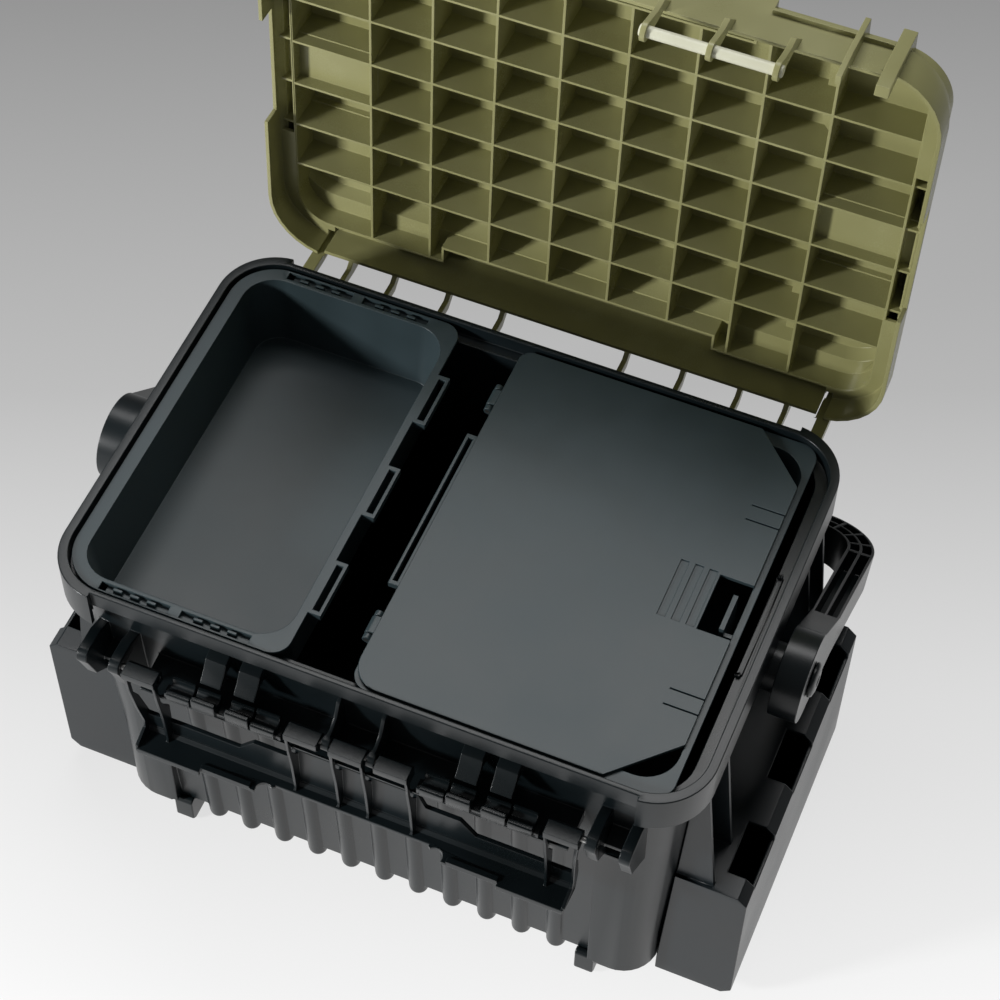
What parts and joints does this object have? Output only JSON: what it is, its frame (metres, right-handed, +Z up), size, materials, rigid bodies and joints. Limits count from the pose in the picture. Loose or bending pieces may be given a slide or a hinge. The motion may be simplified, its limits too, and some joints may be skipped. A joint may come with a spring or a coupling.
{
  "type": "fishing tackle cabinet",
  "caption": "Deep tackle box with a ribbed olive lid open on its rear hinge rods, lift-out trays, one covered, release levers front and rear, side rod stands and a swing handle.",
  "frame": {"origin": "on the floor, under the middle of the whole box as drawn with its lid open", "axes": "+X to the right seen from the front, +Y to the rear where the open lid's hinge is, +Z up"},
  "size_m": [0.475, 0.4096, 0.5426],
  "materials": {
    "black_moulding": "satin black polypropylene",
    "slate_moulding": "satin dark grey polypropylene",
    "olive_moulding": "satin olive polypropylene",
    "rod_cream": "pale satin",
    "steel": "plated"
  },
  "bodies": {
    "case": {"tub": "black_moulding", "feet": "black_moulding", "left_rod_stand": "slate_moulding", "right_rod_stand": "slate_moulding", "rod_stand_screws": "steel", "left_handle_bracket": "black_moulding", "right_handle_bracket": "black_moulding", "bracket_screws": "steel", "left_pivot_cap": "black_moulding", "right_pivot_cap": "black_moulding", "front_lever_pins": "steel", "rear_lever_pins": "steel"},
    "lid": {"lid_shell": "olive_moulding", "front_left_hinge_rod": "rod_cream", "front_right_hinge_rod": "rod_cream", "rear_left_hinge_rod": "rod_cream", "rear_right_hinge_rod": "rod_cream"},
    "front_release": {"front_lever": "black_moulding"},
    "rear_release": {"rear_lever": "black_moulding"},
    "handle": {"carry_handle": "black_moulding"},
    "open_tray": {"parts_tray": "slate_moulding"},
    "lidded_tray": {"covered_tray": "slate_moulding", "cover_hinge_pins": "steel"},
    "cover": {"tray_cover": "slate_moulding"}
  },
  "joints": [
    {"name": "lid_hinge", "type": "hinge", "parent": "case", "child": "lid", "pos_m": [0, 0.11323, 0.232], "axis": [1, 0, 0], "range_deg": [0, 92.9]},
    {"name": "front_lever_hinge", "type": "hinge", "parent": "case", "child": "front_release", "pos_m": [0, -0.19177, 0.232], "axis": [-1, 0, 0], "range_deg": [0, 70]},
    {"name": "rear_lever_hinge", "type": "hinge", "parent": "case", "child": "rear_release", "pos_m": [0, 0.11323, 0.232], "axis": [1, 0, 0], "range_deg": [0, 60]},
    {"name": "handle_hinge", "type": "hinge", "parent": "case", "child": "handle", "pos_m": [0, -0.03927, 0.232], "axis": [-1, 0, 0], "range_deg": [-22, 0]},
    {"name": "parts_tray_lift", "type": "slide", "parent": "case", "child": "open_tray", "axis": [0, 0, -1], "range_m": [-0.07, 0]},
    {"name": "covered_tray_lift", "type": "slide", "parent": "case", "child": "lidded_tray", "axis": [0, 0, -1], "range_m": [-0.07, 0]},
    {"name": "cover_hinge", "type": "hinge", "parent": "lidded_tray", "child": "cover", "pos_m": [-0.0114, -0.03927, 0.2716], "axis": [0, 1, 0], "range_deg": [-100, 0]}
  ]
}
